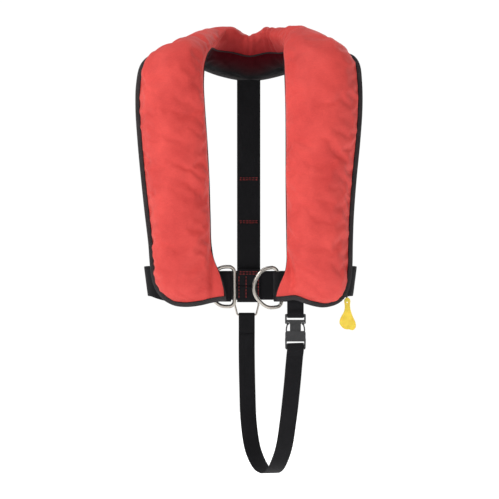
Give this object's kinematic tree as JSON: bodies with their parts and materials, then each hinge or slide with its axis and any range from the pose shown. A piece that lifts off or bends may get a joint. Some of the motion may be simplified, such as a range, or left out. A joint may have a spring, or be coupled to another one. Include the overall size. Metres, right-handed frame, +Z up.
{
  "type": "inflatable life jacket",
  "caption": "Horseshoe inflatable life jacket in a fabric cover, with a waist belt, two D-rings and a crotch strap.",
  "frame": {"origin": "the point of the collar lining that rests on the nape of the neck", "axes": "+Z up as worn, -Y forward (the side the lobes hang on), +X towards the wearer's left"},
  "size_m": [0.3384, 0.2459, 0.6674],
  "materials": {
    "cover_red": "satin",
    "lining_black": "matte",
    "binding_grey": "matte",
    "hook_and_loop": "matte",
    "bladder_yellow": "satin",
    "reflective": "satin",
    "webbing_black": "matte",
    "ring_steel": "polished",
    "slider_steel": "satin",
    "buckle_plastic": "satin",
    "inflator_plastic": "gloss",
    "tube_black": "matte",
    "lever_red": "satin",
    "pin_steel": "satin",
    "cylinder_steel": "satin",
    "stem_brass": "satin",
    "whistle_orange": "gloss",
    "cord_black": "matte",
    "toggle_yellow": "satin"
  },
  "bodies": {
    "root": {"back_sleeve": "webbing_black", "back_strap_lower": "webbing_black", "back_strap_upper": "webbing_black", "belt_keeper_left": "webbing_black", "belt_keeper_right": "webbing_black", "binding_collar": "binding_grey", "binding_left": "binding_grey", "binding_right": "binding_grey", "bladder": "bladder_yellow", "bladder_stem": "stem_brass", "buckle_plug": "buckle_plastic", "buckle_strap": "webbing_black", "clamp_nut": "stem_brass", "closure_strip_left": "hook_and_loop", "closure_strip_right": "hook_and_loop", "cover_collar": "cover_red", "cover_corner_left": "cover_red", "cover_corner_right": "cover_red", "cover_left_lobe": "cover_red", "cover_right_lobe": "cover_red", "crotch_ring_keeper": "webbing_black", "crotch_strap": "webbing_black", "inflator_body": "inflator_plastic", "lever_pivot_pin": "pin_steel", "lining_collar": "lining_black", "lining_left_lobe": "lining_black", "lining_right_lobe": "lining_black", "oral_flange": "tube_black", "oral_tube": "tube_black", "oral_valve": "inflator_plastic", "piercing_spring": "pin_steel", "pull_cord": "cord_black", "reflective_tapes": "reflective", "waist_belt_left": "webbing_black", "waist_belt_right": "webbing_black", "whistle": "whistle_orange"},
    "d_ring_left": {"d_ring_left": "ring_steel"},
    "d_ring_right": {"d_ring_right": "ring_steel"},
    "crotch_ring": {"crotch_ring": "ring_steel", "crotch_strap_eye": "webbing_black"},
    "belt_slider": {"belt_slider": "slider_steel"},
    "buckle_socket": {"buckle_socket": "buckle_plastic", "crotch_strap_loop": "webbing_black"},
    "buckle_arm_left": {"buckle_arm_left": "buckle_plastic"},
    "buckle_arm_right": {"buckle_arm_right": "buckle_plastic"},
    "pull_toggle": {"pull_toggle": "toggle_yellow"},
    "firing_lever": {"firing_lever": "lever_red"},
    "piercing_pin": {"piercing_pin": "pin_steel"},
    "gas_cylinder": {"gas_cylinder": "cylinder_steel"},
    "sensor_cap": {"sensor_cap": "inflator_plastic"},
    "oral_cap": {"oral_cap": "tube_black"}
  },
  "joints": [
    {"name": "ring_left_slide", "type": "slide", "parent": "root", "child": "d_ring_left", "axis": [1, 0, 0], "range_m": [0, 0.014]},
    {"name": "ring_right_swing", "type": "hinge", "parent": "root", "child": "d_ring_right", "pos_m": [0.045, -0.1234, -0.329], "axis": [-0.1392, 0, 0.9903], "range_deg": [-5, 60], "deforming": ["cover_corner_right"]},
    {"name": "crotch_ring_swing", "type": "hinge", "parent": "root", "child": "crotch_ring", "pos_m": [-0.004, 0.0625, -0.346], "axis": [1, 0, 0], "range_deg": [-12, 20], "deforming": ["crotch_strap"]},
    {"name": "buckle_release", "type": "slide", "parent": "root", "child": "buckle_socket", "axis": [0, 0, -1], "range_m": [0, 0.028], "deforming": ["crotch_strap"]},
    {"name": "buckle_arm_left_squeeze", "type": "hinge", "parent": "root", "child": "buckle_arm_left", "pos_m": [0.0574, -0.146, -0.3839], "axis": [0, -1, 0], "range_deg": [0, 7]},
    {"name": "buckle_arm_right_squeeze", "type": "hinge", "parent": "root", "child": "buckle_arm_right", "pos_m": [0.0802, -0.146, -0.3839], "axis": [0, -1, 0], "range_deg": [-7, 0]},
    {"name": "slider_adjust", "type": "slide", "parent": "root", "child": "belt_slider", "axis": [1, 0, 0], "range_m": [-0.008, 0.005]},
    {"name": "toggle_pull", "type": "slide", "parent": "root", "child": "pull_toggle", "axis": [0, 0, -1], "range_m": [0, 0.034], "deforming": ["pull_cord"]},
    {"name": "lever_turn", "type": "hinge", "parent": "root", "child": "firing_lever", "pos_m": [0.103, -0.15, -0.283], "axis": [0, 1, 0], "range_deg": [0, 70.1], "deforming": ["pull_cord"]},
    {"name": "pin_strike", "type": "slide", "parent": "root", "child": "piercing_pin", "axis": [0, 0, 1], "range_m": [0, 0.00451], "deforming": ["piercing_spring"]},
    {"name": "cylinder_unscrew", "type": "hinge", "parent": "root", "child": "gas_cylinder", "pos_m": [0.098, -0.155, -0.23], "axis": [0, 0, 1], "continuous": true},
    {"name": "sensor_cap_unscrew", "type": "hinge", "parent": "root", "child": "sensor_cap", "pos_m": [0.098, -0.155, -0.312], "axis": [0, 0, 1], "continuous": true},
    {"name": "oral_cap_pull", "type": "slide", "parent": "root", "child": "oral_cap", "axis": [0, 0, 1], "range_m": [0, 0.018]}
  ],
  "couplings": [
    {"joint": "lever_turn", "follows": "toggle_pull", "rad_per_m": 35.93},
    {"joint": "pin_strike", "follows": "toggle_pull", "ratio": 0.1324},
    {"joint": "buckle_arm_right_squeeze", "follows": "buckle_arm_left_squeeze", "ratio": -1}
  ]
}
